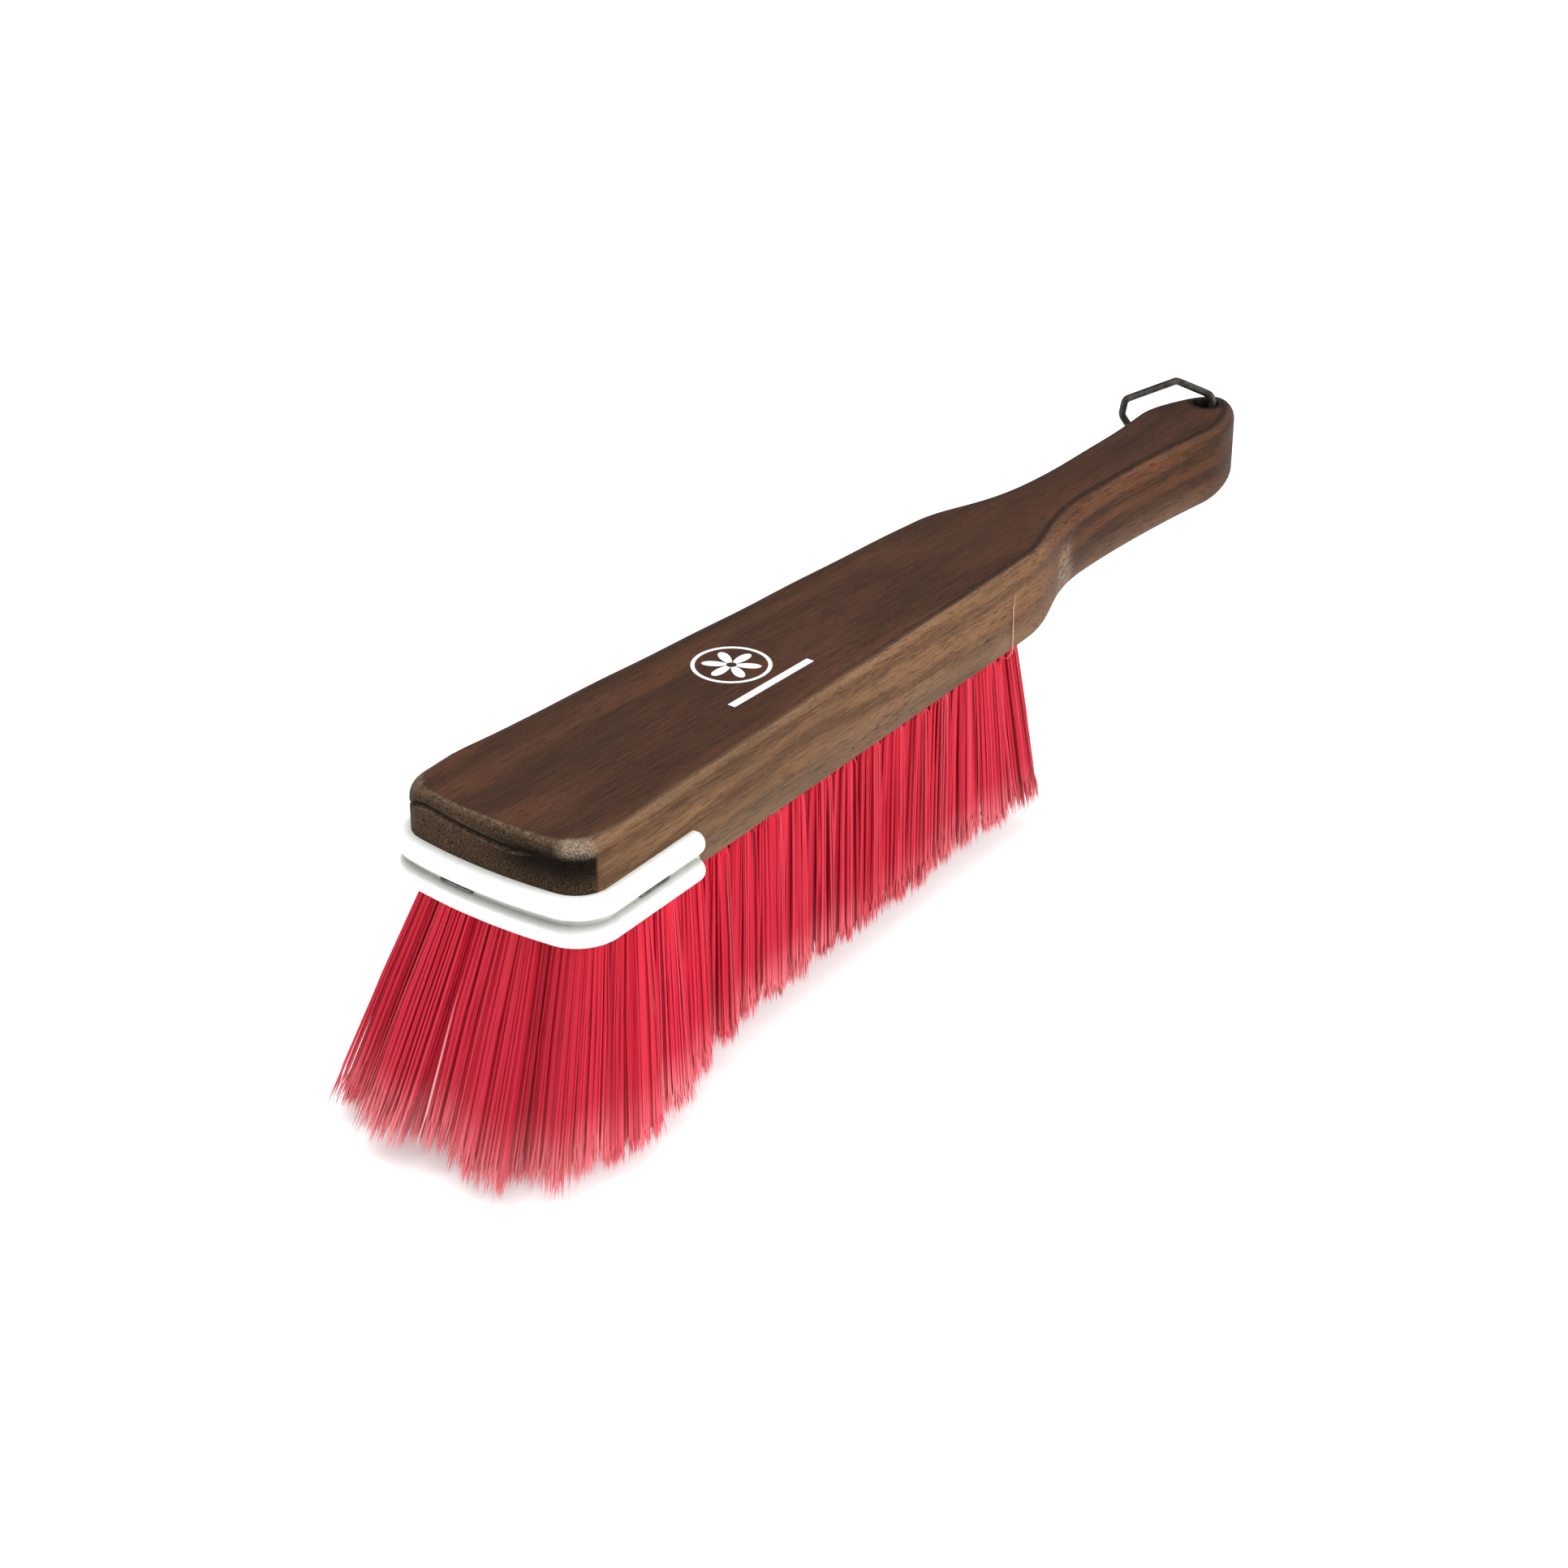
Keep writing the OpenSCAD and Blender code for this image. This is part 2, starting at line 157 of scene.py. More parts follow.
# ---------------------------------------------------------------- materials
class Nodes:
    """A small writer for one material's nodes. Arguments are numbers, colours or sockets."""

    def __init__(self, name):
        self.material = bpy.data.materials.new(name)
        self.material.use_nodes = True
        self.tree = self.material.node_tree
        self.tree.nodes.clear()

    def put(self, socket, value):
        if isinstance(value, bpy.types.NodeSocket):
            self.tree.links.new(value, socket)
        elif isinstance(value, (tuple, list)) and len(value) == 3 and socket.type == "RGBA":
            socket.default_value = (*value, 1)
        else:
            socket.default_value = value

    def add(self, kind, inputs=(), **settings):
        node = self.tree.nodes.new("ShaderNode" + kind)
        for key, value in settings.items():
            setattr(node, key, value)
        for key, value in dict(inputs).items():
            self.put(node.inputs[key], value)
        return node

    def math(self, operation, a, b=0.0):
        return self.add("Math", {0: a, 1: b}, operation=operation).outputs[0]

    def less(self, a, b):
        return self.math("SUBTRACT", a, b)

    def times(self, *values):
        return reduce(lambda a, b: self.math("MULTIPLY", a, b), values)

    def plus(self, *values):
        return reduce(lambda a, b: self.math("ADD", a, b), values)

    def length(self, a, b):
        return self.math("SQRT", self.plus(self.times(a, a), self.times(b, b)))

    def band(self, value, low, high, to_low=0.0, to_high=1.0):
        """Runs smoothly from to_low to to_high as value goes from low to high."""
        node = self.add("MapRange", {0: value, 1: low, 2: high, 3: to_low, 4: to_high},
                        interpolation_type="SMOOTHSTEP")
        return node.outputs[0]

    def mix(self, share, a, b):
        node = self.add("Mix", data_type="RGBA")
        self.put(node.inputs[0], share)
        self.put(node.inputs[6], a)
        self.put(node.inputs[7], b)
        return node.outputs[2]

    def scaled(self, vector, scale, shift=(0, 0, 0)):
        return self.add("Mapping", {0: vector, 1: shift, 3: scale}).outputs[0]

    def noise(self, vector, scale, detail=3.0, rough=0.55, shift=(0, 0, 0)):
        """Noise over vector scaled along X, Y and Z by scale, a number or three of them."""
        scale = scale if isinstance(scale, tuple) else (scale,) * 3
        return self.add("TexNoise", {"Vector": self.scaled(vector, scale, shift), "Scale": 1.0,
                                     "Detail": detail, "Roughness": rough}).outputs[0]

    def attribute(self, name):
        return self.add("Attribute", attribute_name=name).outputs["Fac"]

    def place(self):
        """The point being shaded in millimetres from the nose tip, and its X, Y and Z."""
        coords = self.add("TexCoord").outputs["Object"]
        shifted = self.scaled(coords, (1000, 1000, 1000), tuple(-1000 * ORIGIN))
        split = self.add("SeparateXYZ", {0: shifted}).outputs
        return shifted, split[0], split[1], split[2]

    def finish(self, colour, roughness, height=None, bump=0.3, distance=0.0002, **more):
        """Links up the shader, with more inputs given by name, and returns the material."""
        shader = self.add("BsdfPrincipled", {"Base Color": colour, "Roughness": roughness})
        for key, value in more.items():
            self.put(shader.inputs[key.replace("_", " ")], value)
        if height is not None:
            node = self.add("Bump", {"Strength": bump, "Distance": distance, "Height": height})
            self.tree.links.new(node.outputs[0], shader.inputs["Normal"])
        out = self.add("OutputMaterial")
        self.tree.links.new(shader.outputs[0], out.inputs[0])
        return self.material


def wood_material():
    """Dark-stained walnut with grain along X and end grain on the nose; sides painted lighter, edges
    pale with wear and painted highlight, painted shade in the nose's groove and the loop's hole.
    """
    n = Nodes("stained_walnut")
    place, x, y, z = n.place()
    normal_x, _, normal_z = n.add("SeparateXYZ", {0: n.add("NewGeometry").outputs["Normal"]}).outputs

    # Growth rings about a pith well below the block, warped slowly along its length
    warp = n.times(n.less(n.noise(place, (0.007, 0.03, 0.03), 2.0), 0.5), 34.0)
    radius = n.length(n.plus(y, 38.0), n.plus(z, 92.0))
    ring = n.band(n.math("SINE", n.times(n.plus(radius, warp), 0.62)), -0.9, 1.0)
    fibre = n.noise(place, (0.055, 1.5, 1.5), 8.0, 0.72)
    fine = n.noise(place, (0.30, 5.5, 5.5), 4.0, 0.7)
    mottle = n.noise(place, (0.012, 0.06, 0.06), 4.0)
    pores = n.noise(place, (0.19, 2.7, 2.7), 2.0, 0.5, (7.3, 1.1, 4.7))
    pores = n.times(n.band(pores, 0.585, 0.65), n.band(mottle, 0.40, 0.58, 0.45, 1.0))

    # Where the surface faces: back, sides or the sawn nose
    up = n.band(normal_z, 0.80, 0.985)
    nose = n.times(n.band(normal_x, -0.24, -0.36), n.band(x, 30.0, 24.0),
                   n.band(normal_z, 0.93, 0.80))

    streak = n.plus(n.times(fibre, 0.62), n.times(ring, 0.10), n.times(fine, 0.28))
    streak = n.band(streak, 0.34, 0.64)
    # The sides are coloured about twice as light as the back: partly paler stain, partly painted light
    # from the lamps at the side
    back = n.mix(streak, (0.026, 0.0090, 0.0038), (0.083, 0.032, 0.0150))
    side = n.mix(streak, (0.052, 0.024, 0.011), (0.155, 0.082, 0.040))
    grip = n.mix(streak, (0.012, 0.0040, 0.0016), (0.090, 0.036, 0.015))
    side = n.mix(n.band(x, 190.0, 235.0), side, grip)
    side = n.mix(n.band(z, -13.0, -23.0, 0.0, 0.40), side, (0.125, 0.090, 0.062))
    back = n.mix(n.band(x, 150.0, 250.0, 0.0, 0.45), back, (0.020, 0.0080, 0.0040))
    side = n.mix(n.band(x, 285.0, 325.0, 0.0, 0.65), side, (0.014, 0.0060, 0.0030))
    colour = n.mix(up, side, back)
    colour = n.mix(n.times(n.band(mottle, 0.46, 0.66), 0.22), colour, (0.120, 0.044, 0.024))
    colour = n.mix(n.times(n.band(mottle, 0.50, 0.36), 0.30), colour, (0.026, 0.013, 0.009))

    # End grain: pore dots, and painted shade darkening the wall below the nose's top edge
    dots = n.noise(place, (1.2, 2.2, 2.2), rough=0.7)
    end = n.mix(n.band(dots, 0.35, 0.68), (0.012, 0.0075, 0.0050), (0.085, 0.052, 0.030))
    nose_painted_shade = n.times(n.band(y, 4.0, -14.0), n.band(z, -15.0, -6.0), n.band(z, -1.5, -4.5))
    end = n.mix(n.times(nose_painted_shade, 0.92), end, (0.003, 0.002, 0.0015))
    colour = n.mix(nose, colour, end)

    # Pale edge round the back, broken up along its length: partly wear, partly a painted highlight on
    # the rounding
    edge = n.times(n.band(normal_z, 0.985, 0.90), n.band(normal_z, 0.30, 0.62))
    wear_and_highlight_breakup = n.noise(place, 0.9, 4.0, 0.75)
    nose_edge = n.times(edge, n.band(x, 16.0, 5.0), n.band(normal_z, 0.70, 0.86),
                        n.band(wear_and_highlight_breakup, 0.42, 0.62, 0.02, 0.50))
    edge = n.times(edge, n.band(wear_and_highlight_breakup, 0.38, 0.70, 0.10, 0.34), n.band(x, 230.0, 190.0, 0.3, 1.0))
    colour = n.mix(edge, colour, (0.24, 0.140, 0.080))
    colour = n.mix(nose_edge, colour, (0.25, 0.18, 0.125))
    # The left corner's edge is palest: a painted highlight on its rounding
    speckle = n.noise(place, 2.4, rough=0.7)
    corner = n.times(n.band(y, -20.0, -24.5), n.band(x, 9.5, 6.5), n.band(z, -4.8, -1.8),
                     n.band(normal_z, 0.98, 0.88), n.band(speckle, 0.40, 0.62, 0.05, 0.75))
    colour = n.mix(corner, colour, (0.36, 0.29, 0.22))
    # The quirk groove is painted near-black: painted shade in the groove
    colour = n.mix(n.times(n.attribute("quirk"), 0.9), colour, (0.006, 0.005, 0.004))
    colour = n.mix(n.times(pores, 0.62), colour, (0.018, 0.010, 0.007))

    # Painted shade in and round the loop's hole
    hole = n.length(n.less(x, LOOP_X), y)
    colour = n.mix(n.band(hole, 6.2, 4.2, 0.0, 0.92), colour, (0.006, 0.004, 0.003))
    # A dark line along the back's rounded edge
    dark_edge_line = n.times(n.band(normal_z, 0.78, 0.90), n.band(normal_z, 0.992, 0.96),
                     n.band(x, 20.0, 200.0, 0.35, 1.0), n.band(wear_and_highlight_breakup, 0.30, 0.50, 0.35, 0.85))
    colour = n.mix(dark_edge_line, colour, (0.011, 0.006, 0.004))
    # A painted highlight on the handle's shoulder
    shoulder_highlight = n.times(n.band(x, 217.0, 224.0), n.band(x, 234.0, 227.0), n.band(z, -6.0, -15.0),
                   n.band(y, 2.0, -6.0), n.band(fibre, 0.40, 0.62, 0.05, 0.38))
    colour = n.mix(shoulder_highlight, colour, (0.34, 0.28, 0.20))

    # The printed mark lies on the flat of the back only, slightly rubbed
    mark = n.times(printed_mark(n, x, y), n.band(normal_z, 0.97, 0.995), n.band(wear_and_highlight_breakup, 0.30, 0.42))
    colour = n.mix(mark, colour, (0.86, 0.87, 0.88))

    height = n.plus(n.times(fibre, 0.5), n.times(pores, -0.9), n.times(fine, 0.35))
    rough = n.plus(n.band(streak, 0.0, 1.0, 0.50, 0.64), n.times(pores, 0.2))
    shine = n.times(n.band(nose, 0.0, 1.0, 0.14, 0.07), n.band(normal_z, 0.3, 0.8, 0.35, 1.0))
    return n.finish(colour, rough, height, 0.55, 0.00022, Specular_IOR_Level=shine)


def printed_mark(n, x, y):
    """1 where the generic mark is printed: a ring, six petals inside it and a bar beside it."""
    ring_x, ring_y, ring_r, petal_len = 97.5, 3.0, 9.8, 7.6
    bar_x, bar_y, bar_half = 95.8, -11.0, 16.0
    dx, dy = n.less(x, ring_x), n.less(y, ring_y)
    r = n.length(dx, dy)
    petal = n.math("ABSOLUTE", n.math("COSINE", n.times(n.math("ARCTAN2", dy, dx), 3.0)))
    petals = n.times(n.band(n.less(r, n.times(petal, petal_len)), 0.15, -0.15), n.band(r, 1.2, 1.5))
    ring = n.band(n.math("ABSOLUTE", n.less(r, ring_r)), 0.62, 0.38)
    along = n.band(n.math("ABSOLUTE", n.less(x, bar_x)), bar_half + 0.2, bar_half - 0.1)
    bar = n.times(n.band(n.math("ABSOLUTE", n.less(y, bar_y)), 1.25, 1.0), along)
    return n.math("MAXIMUM", n.math("MAXIMUM", petals, ring), bar)


def bumper_material():
    """White plastic with faint smears of dirt, and painted shade greying the groove between its beads.
    """
    n = Nodes("bumper_white_plastic")
    place, _, _, z = n.place()
    # The groove between the beads is painted grey: painted shade
    groove = n.band(n.math("ABSOLUTE", n.less(z, GROOVE_Z)), 3.0, 0.2)
    smear = n.noise(place, (0.25, 0.25, 0.6))
    colour = n.mix(n.times(groove, 0.92), (0.80, 0.82, 0.80), (0.28, 0.28, 0.255))
    colour = n.mix(n.band(smear, 0.5, 0.75, 0.0, 0.10), colour, (0.70, 0.70, 0.66))
    skin = n.noise(place, 1.1, 2.0)
    rough = n.band(smear, 0.3, 0.7, 0.24, 0.36)
    return n.finish(colour, rough, skin, 0.06, 0.0001, Specular_IOR_Level=0.5, Coat_Weight=0.15)


def bristle_material():
    """Red filaments, deeper near the wood and paler at their split tips."""
    n = Nodes("red_filament")
    place, x, _, _ = n.place()
    along, tint, pale = (n.attribute(name) for name in ("along", "tint", "pale"))
    root = n.mix(tint, (0.40, 0.004, 0.016), (0.48, 0.008, 0.028))
    body = n.mix(tint, (0.40, 0.004, 0.020), (0.49, 0.012, 0.038))
    tip = n.mix(tint, (0.56, 0.055, 0.080), (0.76, 0.24, 0.26))
    colour = n.mix(n.band(along, 0.0, 0.45), root, body)
    colour = n.mix(n.band(along, 0.68, 0.98), colour, tip)
    colour = n.mix(n.times(pale, n.band(along, 0.30, 0.75)), colour, (0.88, 0.62, 0.60))
    colour = n.mix(n.band(x, 30.0, 130.0, 0.0, 0.45), colour, (0.29, 0.010, 0.022))
    grime = n.noise(place, (0.35, 0.35, 0.08), 2.0)
    colour = n.mix(n.band(grime, 0.35, 0.7, 0.10, 0.0), colour, (0.40, 0.008, 0.02))
    rough = n.band(tint, 0.0, 1.0, 0.34, 0.50)
    ripple = n.noise(place, (3.0, 3.0, 0.5), 1.0)
    # Light that has passed through the neighbouring filaments comes back as a faint red glow
    glow = n.mix(n.band(along, 0.5, 1.0), (0.42, 0.004, 0.020), (0.62, 0.10, 0.12))
    return n.finish(colour, rough, ripple, 0.08, 0.00005, Specular_IOR_Level=0.18,
                    Emission_Color=glow, Emission_Strength=0.15,
                    Sheen_Weight=0.08, Sheen_Roughness=0.4, Sheen_Tint=(1.0, 0.22, 0.28, 1.0))


def metal_material(name, light, dark, rust, roughness):
    """Steel that is light and dark in patches, with rust spots."""
    n = Nodes(name)
    place = n.place()[0]
    patches = n.noise(place, 0.35, 4.0, 0.65)
    grit = n.noise(place, 3.5, 2.0)
    colour = n.mix(n.band(patches, 0.35, 0.65), dark, light)
    spots = n.times(n.band(grit, 0.60, 0.72), n.band(patches, 0.45, 0.62))
    colour = n.mix(n.times(spots, 0.7), colour, rust)
    rough = n.band(grit, 0.3, 0.7, roughness - 0.08, roughness + 0.14)
    return n.finish(colour, rough, grit, 0.25, 0.00006, Metallic=n.band(spots, 0.0, 1.0, 0.85, 0.3))


# ---------------------------------------------------------------- wood block
ARC_STEPS, CAP_STEPS = 9, 8
# Y, at the nose tip, of the line that runs CORNER_R inside the side line
CORNER_A = HEAD_HALF - CORNER_R * math.sqrt(1 + SIDE_TAPER ** 2)


def corner_centre():
    """The nose corner's centre: CORNER_R inside both the side line and the front curve."""
    k = 1 + SIDE_TAPER ** 2
    b = NOSE_R + CORNER_A * SIDE_TAPER
    c = NOSE_R ** 2 + CORNER_A ** 2 - (NOSE_R - CORNER_R) ** 2
    cx = (b - math.sqrt(b * b - k * c)) / k
    return cx, CORNER_A - SIDE_TAPER * cx


CORNER_X, CORNER_Y = corner_centre()
FRONT_ANGLE = math.atan2(CORNER_Y, NOSE_R - CORNER_X)
SIDE_ANGLE = math.pi / 2 + math.atan(SIDE_TAPER)


def bezier(p, count, last=False):
    """count points on the cubic through control points p, and its end point if last."""
    p = np.asarray(p, float)
    t = np.linspace(0, 1, count + 1)[: count + (1 if last else 0), None]
    return (1 - t) ** 3 * p[0] + 3 * t * (1 - t) ** 2 * p[1] + 3 * t * t * (1 - t) * p[2] + t ** 3 * p[3]


def half_plan():
    """The right half of the block's plan, nose tip to handle end."""
    a = np.linspace(0, FRONT_ANGLE, 15)[:-1]
    front = np.stack([NOSE_R - NOSE_R * np.cos(a), NOSE_R * np.sin(a)], 1)
    a = np.linspace(FRONT_ANGLE, SIDE_ANGLE, 19)
    corner = np.stack([CORNER_X - CORNER_R * np.cos(a), CORNER_Y + CORNER_R * np.sin(a)], 1)
    x = np.linspace(corner[-1, 0], HEAD_LEN, 42)[1:-1]
    side = np.stack([x, side_y(x)], 1)
    shoulder = bezier([(HEAD_LEN, side_y(HEAD_LEN)), (HEAD_LEN + 15, side_y(HEAD_LEN + 15)),
                       (NECK_X - 22, NECK_HALF + 1.25), (NECK_X, NECK_HALF)], 24)
    neck = bezier([(NECK_X, NECK_HALF), (NECK_X + 18, NECK_HALF - 1),
                   (BULB_X - 21, BULB_HALF - 2.15), (BULB_X, BULB_HALF)], 22)
    end = bezier([(BULB_X, BULB_HALF), (BULB_X + 8, BULB_HALF + 0.8),
                  (WOOD_LEN, 8.5), (WOOD_LEN, 0)], 22, last=True)
    return np.concatenate([front, corner, side, shoulder, neck, end])


def wood_mesh():
    """Verts and faces of the undrilled block, and its quirk-groove weight per vertex."""
    half = half_plan()
    count = len(half)
    plan = np.concatenate([half, half[-2:0:-1] * (1, -1)])
    total = len(plan)
    step = np.roll(plan, -1, 0) - np.roll(plan, 1, 0)
    inward = np.stack([step[:, 1], -step[:, 0]], 1) / np.linalg.norm(step, axis=1)[:, None]
    px = plan[:, 0]
    wave = 0.22 * np.sin(px * 0.061 + 0.7) + 0.16 * np.sin(px * 0.173 + plan[:, 1] * 0.2)
    back_r = (NOSE_ROUND + HEAD_ROUND * ramp(px, 8, 40) + wave * ramp(px, 20, 60) * ramp(px, 328, 300)
              + CORNER_EASE * ramp(px, 0.8, 3) * ramp(px, 24, 8)
              + END_EASE * ramp(px, WOOD_LEN - 24, WOOD_LEN - 8))
    under_r = UNDER_ROUND + HANDLE_ROUND * ramp(px, HEAD_LEN - 8, NECK_X)
    fall = HANDLE_DROP * np.clip((px - HEAD_LEN) / (WOOD_LEN - HEAD_LEN), 0, 1)
    rings, weights = [], []
    for level in np.linspace(0, 90, ARC_STEPS + 1):
        s, c = math.sin(math.radians(level)), math.cos(math.radians(level))
        rings.append(np.column_stack([plan + inward * (back_r * (1 - s))[:, None],
                                      -back_r * (1 - c) - fall * c]))
        weights.append(np.zeros(total))
    # The sawn quirk under the nose's top edge, nearest to the back at the right corner, with
    # a plain band of wall below it
    on_nose = ramp(px, 12, 4) * ramp(plan[:, 1], -20, -6)
    quirk_z = np.minimum(np.clip(-3.5 - 0.07 * (20 - plan[:, 1]), -6.5, -3.4), -back_r - 0.9)
    for drop, cut in ((0.75, 0.0), (0.55, 0.6), (0.35, 1.0), (-0.55, 1.0), (-0.9, 0.5), (-1.3, 0.0)):
        z = quirk_z * on_nose + (1 - on_nose) * (-back_r - 1.3) + drop
        rings.append(np.column_stack([plan + inward * (QUIRK_DEEP * cut * on_nose)[:, None], z]))
        weights.append(cut * on_nose)
    for level in np.linspace(90, 0, ARC_STEPS + 1):
        s, c = math.sin(math.radians(level)), math.cos(math.radians(level))
        rings.append(np.column_stack([plan + inward * (under_r * (1 - s))[:, None],
                                      under_r * (1 - c) - THICK]))
        weights.append(np.zeros(total))
    verts = np.concatenate(rings)
    weight = np.concatenate(weights)
    faces = skin_faces(len(rings), total)
    # Flat caps, as strips across from side to side
    for ring_start, flip in ((0, False), ((len(rings) - 1) * total, True)):
        left = [ring_start + (total - i) % total for i in range(count)]
        right = [ring_start + i for i in range(count)]
        columns = []
        for i in range(count):
            if i in (0, count - 1):
                columns.append([right[i]] * (CAP_STEPS + 1))
                continue
            inner = list(range(len(verts), len(verts) + CAP_STEPS - 1))
            extra = [verts[left[i]] + (verts[right[i]] - verts[left[i]]) * t / CAP_STEPS
                     for t in range(1, CAP_STEPS)]
            verts = np.concatenate([verts, extra])
            columns.append([left[i]] + inner + [right[i]])
        for i in range(count - 1):
            for t in range(CAP_STEPS):
                quad = [columns[i][t], columns[i][t + 1], columns[i + 1][t + 1], columns[i + 1][t]]
                quad = list(dict.fromkeys(quad))
                if len(quad) > 2:
                    faces.append(tuple(quad if flip else quad[::-1]))
    weight = np.concatenate([weight, np.zeros(len(verts) - len(weight))])
    return verts, faces, weight


def tuft_place(row, i):
    """A tuft's hole mouth, its axis out of the wood and two directions across it."""
    x = FIRST_TUFT + PITCH * (i - (0 if row % 2 == 0 else 0.5))
    y = row / 2 * (side_y(x) - EDGE_MARGIN - NOSE_INSET * (1 - float(ramp(x, 8, 30))))
    at_nose = max(0, 1 - (x - FIRST_TUFT + PITCH / 2) / NOSE_LEAN_LEN)
    at_back = max(0, (x - BACK_LEAN_X) / (LAST_TUFT - BACK_LEAN_X))
    lean_x = math.radians(NOSE_LEAN * at_nose ** 2 - BACK_LEAN * at_back ** 2)
    lean_y = math.radians(row / 2 * SIDE_LEAN * (1 - 1.1 * float(ramp(x, 20, 75))))
    turn = np.array(Matrix.Rotation(lean_x, 3, "Y") @ Matrix.Rotation(lean_y, 3, "X"))
    return np.array([x, y, -THICK]), -turn[:, 2], turn[:, 0], turn[:, 1]


def tube(path, radius, sides):
    """A round, closed tube along path, radius a number or one per point. Verts and faces."""
    path = np.asarray(path, float)
    radius = np.broadcast_to(radius, len(path))
    way = np.gradient(path, axis=0)
    way /= np.linalg.norm(way, axis=1)[:, None]
    up = np.array([0.0, 0.0, 1.0]) if abs(way[0, 2]) < 0.9 else np.array([1.0, 0.0, 0.0])
    across = np.cross(way[0], up)
    across /= np.linalg.norm(across)
    verts = []
    for p, w, r in zip(path, way, radius):
        across = across - w * across.dot(w)
        across /= np.linalg.norm(across)
        third = np.cross(w, across)
        for k in range(sides):
            a = 2 * math.pi * k / sides
            verts.append(p + r * (math.cos(a) * across + math.sin(a) * third))
    return np.array(verts), loft_faces(len(path), sides)


def build_wood():
    """The block, drilled for the loop and for every tuft."""
    verts, faces, weight = wood_mesh()
    obj = new_piece("wood_block_body", verts, faces, "brush", "wood_block")
    quirk = obj.data.attributes.new("quirk", "FLOAT", "POINT")
    quirk.data.foreach_set("value", weight[: len(obj.data.vertices)].astype(np.float32))
    outward(obj)
    # The cutter holds the loop's hole, eased at both mouths, and the tuft holes
    cut_verts, cut_faces = [], []

    def cut(path, radius, sides):
        v, f = tube(path, radius, sides)
        cut_faces.extend(tuple(i + len(cut_verts) for i in face) for face in f)
        cut_verts.extend(v)

    wide, ease = LOOP_HOLE_R + 1.5, 0.8
    heights = [2, -0.5, -0.75, -ease - 0.6, -THICK / 2, -THICK + ease, -THICK + 0.2, -THICK - 2]
    radii = [wide, wide - 1.1, LOOP_HOLE_R + 0.25, LOOP_HOLE_R, LOOP_HOLE_R, LOOP_HOLE_R,
             LOOP_HOLE_R + 0.7, wide]
    cut([(LOOP_X, 0, z) for z in heights], radii, 40)
    for row in range(-2, 3):
        for i in range(PER_ROW):
            mouth, way, _, _ = tuft_place(row, i)
            cut([mouth - way * HOLE_DEPTH, mouth - way * 0.4, mouth + way * 3], HOLE_R, 20)
    drill = mesh_object("drill", cut_verts, cut_faces)
    outward(drill)
    modifier = obj.modifiers.new("drilled", "BOOLEAN")
    modifier.object = drill
    modifier.operation = "DIFFERENCE"
    modifier.solver = "EXACT"
    graph = bpy.context.evaluated_depsgraph_get()
    drilled = bpy.data.meshes.new_from_object(obj.evaluated_get(graph))
    obj.modifiers.clear()
    obj.data = drilled
    bpy.data.objects.remove(drill)
    drilled.shade_smooth()
    drilled.set_sharp_from_angle(angle=math.radians(38))
    drilled.materials.clear()
    drilled.materials.append(wood_material())


# ---------------------------------------------------------------- bumper
def build_bumper():
    """The twin-bead strip, swept round the nose and rounded off at its two ends."""
    web_angle = math.acos((WEB - BEAD_BASE) / BEAD_R)
    arc = 16

    def bead(z, start, stop, s):
        a = np.linspace(start, stop, arc + 1)
        return np.stack([s * (BEAD_BASE + BEAD_R * np.cos(a)), z + s * BEAD_R * np.sin(a)], 1)

    def profile(s):
        low, high = -BEAD_GAP / 2, BEAD_GAP / 2
        return np.concatenate([
            [(0, low - s * BEAD_R)], bead(low, -math.pi / 2, web_angle, s),
            bead(high, -web_angle, math.pi / 2, s), [(0, high + s * BEAD_R)]])

    normal = math.pi / 2 - math.atan(SIDE_TAPER)
    half = []
    for u in np.sin(np.linspace(math.pi / 2 * 0.93, 0, 9)):
        x = BUMPER_END + BEAD_R * u
        half.append((x, side_y(x), normal, math.sqrt(1 - u * u)))
    for x in np.linspace(BUMPER_END, CORNER_X + CORNER_R * SIDE_TAPER, 10)[1:-1]:
        half.append((x, side_y(x), normal, 1))
    for a in np.linspace(SIDE_ANGLE, FRONT_ANGLE, 19)[:-1]:
        half.append((CORNER_X - CORNER_R * math.cos(a), CORNER_Y + CORNER_R * math.sin(a),
                     math.pi - a, 1))
    for a in np.linspace(FRONT_ANGLE, 0, 15):
        half.append((NOSE_R - NOSE_R * math.cos(a), NOSE_R * math.sin(a), math.pi - a, 1))
    stations = half + [(x, -y, -a, s) for x, y, a, s in half[-2::-1]]
    verts = []
    for x, y, a, s in stations:
        for out, up in profile(s):
            reach = out + STRIP_GAP
            verts.append((x + math.cos(a) * reach, y + math.sin(a) * reach, GROOVE_Z + up))
    count = 2 * (arc + 1) + 2
    obj = new_piece("bumper_strip_beads", verts, loft_faces(len(stations), count), "brush",
                    "bumper_strip")
    outward(obj)
    obj.data.set_sharp_from_angle(angle=math.radians(50))
    obj.data.materials.append(bumper_material())


def rounded(points, radius, steps):
    """A polyline with each corner turned into an arc of radius."""
    points = [np.asarray(p, float) for p in points]
    line = [points[0]]
    for before, corner, after in zip(points, points[1:], points[2:]):
        a = (before - corner) / np.linalg.norm(before - corner)
        b = (after - corner) / np.linalg.norm(after - corner)
        half = math.acos(float(np.clip(a.dot(b), -1, 1))) / 2
        reach = radius / math.tan(half)
        middle = (a + b) / np.linalg.norm(a + b)
        centre = corner + middle * radius / math.sin(half)
        start, stop = corner + a * reach - centre, corner + b * reach - centre
        whole = math.pi - 2 * half
        for k in range(steps + 1):
            t = k / steps
            line.append(centre + (math.sin((1 - t) * whole) * start + math.sin(t * whole) * stop)
                        / math.sin(whole))
    line.append(points[-1])
    return line


